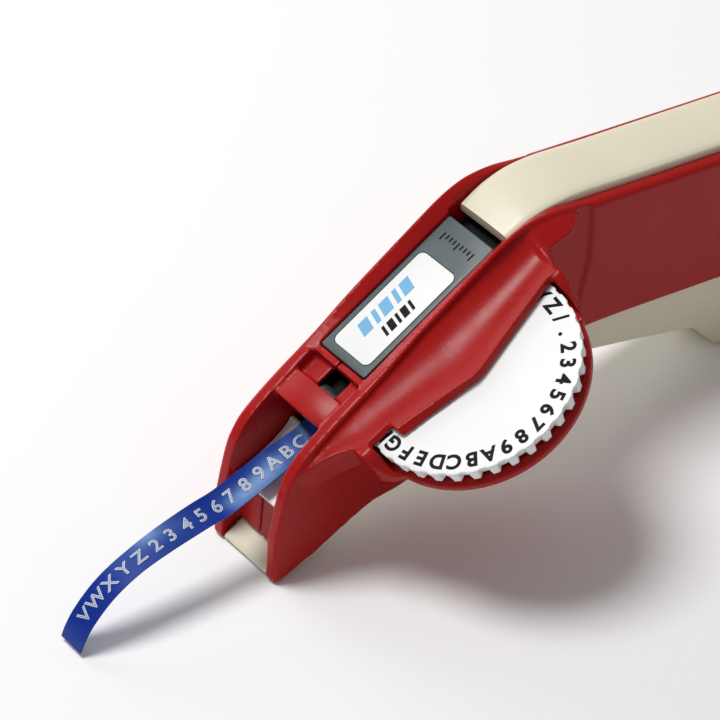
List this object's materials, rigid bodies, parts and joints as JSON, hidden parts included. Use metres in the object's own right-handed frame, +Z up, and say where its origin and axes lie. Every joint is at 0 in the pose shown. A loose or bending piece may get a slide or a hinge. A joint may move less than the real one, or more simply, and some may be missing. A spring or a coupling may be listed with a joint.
{
  "type": "label maker",
  "caption": "Hand-held embossing label maker: a squeeze lever presses tape between a turning character wheel and a ram, and feeds it out of the nose.",
  "frame": {"origin": "centre of the bounding box, on the surface that the tool stands on", "axes": "+Z up; +X forward along the tool to the nose and the tape's free end; +Y to the side that carries the character wheel"},
  "size_m": [0.27, 0.0754, 0.0817],
  "materials": {
    "red_abs": "glossy injection-moulded red ABS",
    "cream_plastic": "satin cream plastic",
    "slate_plastic": "satin slate-grey plastic",
    "sticker_paper": "printed vinyl sticker, matt",
    "white_plastic": "satin white plastic",
    "dark_plastic": "dark grey engineering plastic",
    "steel": "plain steel, lightly brushed",
    "dark_rubber": "knurled black rubber",
    "blue_tape": "glossy blue embossing tape"
  },
  "bodies": {
    "housing": {"housing_left": "red_abs", "housing_right": "red_abs", "housing_screw_1": "steel", "housing_screw_2": "steel", "housing_screw_3": "steel", "housing_screw_4": "steel", "label_panel": "slate_plastic", "panel_sticker": "sticker_paper", "cover_hinge_pin": "steel", "exit_chute": "white_plastic", "lever_pivot_pin": "steel", "return_spring": "steel", "wheel_axle": "steel", "wheel_detent_spring": "steel", "press_anvil": "dark_plastic", "tape_strip": "blue_tape", "roll_post": "dark_plastic", "pressure_axle": "steel"},
    "lever": {"lever": "cream_plastic", "ram_spring": "steel"},
    "wheel": {"character_wheel": "white_plastic", "die_wheel": "dark_plastic", "wheel_hub": "white_plastic"},
    "ram": {"press_ram": "steel"},
    "feed_roller": {"feed_roller": "dark_rubber", "feed_ratchet": "white_plastic", "feed_axle": "steel"},
    "pressure_roller": {"pressure_roller": "dark_plastic"},
    "feed_arm": {"feed_arm": "dark_plastic"},
    "tape_roll": {"tape_roll": "blue_tape", "roll_core": "white_plastic"},
    "cutter": {"cutter_holder": "dark_plastic", "cutter_blade": "steel"},
    "cover": {"grip_cover": "cream_plastic"}
  },
  "joints": [
    {"name": "lever_squeeze", "type": "hinge", "parent": "housing", "child": "lever", "pos_m": [0.0731, -0.0228, 0.00195], "axis": [0, 1, 0], "range_deg": [0, 6], "stiffness_Nm_per_rad": 2, "springref_deg": -17.19, "deforming": ["return_spring", "ram_spring"]},
    {"name": "ram_press", "type": "slide", "parent": "housing", "child": "ram", "axis": [0.4509, 0, 0.8926], "range_m": [0, 0.003]},
    {"name": "feed_arm_swing", "type": "hinge", "parent": "housing", "child": "feed_arm", "pos_m": [0.04393, -0.0228, 0.0327], "axis": [0, 1, 0], "range_deg": [0, 45]},
    {"name": "wheel_turn", "type": "hinge", "parent": "housing", "child": "wheel", "pos_m": [0.0231, 0.00535, 0.05689], "axis": [0.4509, 0, 0.8926], "continuous": true, "deforming": ["wheel_detent_spring"]},
    {"name": "feed_roller_turn", "type": "hinge", "parent": "housing", "child": "feed_roller", "pos_m": [0.04393, -0.0228, 0.0327], "axis": [0, 1, 0], "continuous": true},
    {"name": "pressure_roller_turn", "type": "hinge", "parent": "housing", "child": "pressure_roller", "pos_m": [0.04848, -0.0228, 0.04172], "axis": [0, 1, 0], "continuous": true},
    {"name": "tape_roll_turn", "type": "hinge", "parent": "housing", "child": "tape_roll", "pos_m": [-0.03079, -0.0228, 0.05666], "axis": [0, 1, 0], "continuous": true},
    {"name": "cutter_press", "type": "slide", "parent": "housing", "child": "cutter", "axis": [-0.4509, 0, -0.8926], "range_m": [0, 0.0018], "stiffness_N_per_m": 400, "springref_m": -0.001},
    {"name": "cover_open", "type": "hinge", "parent": "housing", "child": "cover", "pos_m": [-0.12383, -0.0228, 0.0621], "axis": [0, -1, 0], "range_deg": [0, 75]}
  ],
  "couplings": [
    {"joint": "ram_press", "follows": "lever_squeeze", "m_per_rad": 0.02864},
    {"joint": "feed_arm_swing", "follows": "lever_squeeze", "ratio": 7.5},
    {"joint": "pressure_roller_turn", "follows": "feed_roller_turn", "ratio": -2.5},
    {"joint": "tape_roll_turn", "follows": "feed_roller_turn", "ratio": 0.3714}
  ]
}
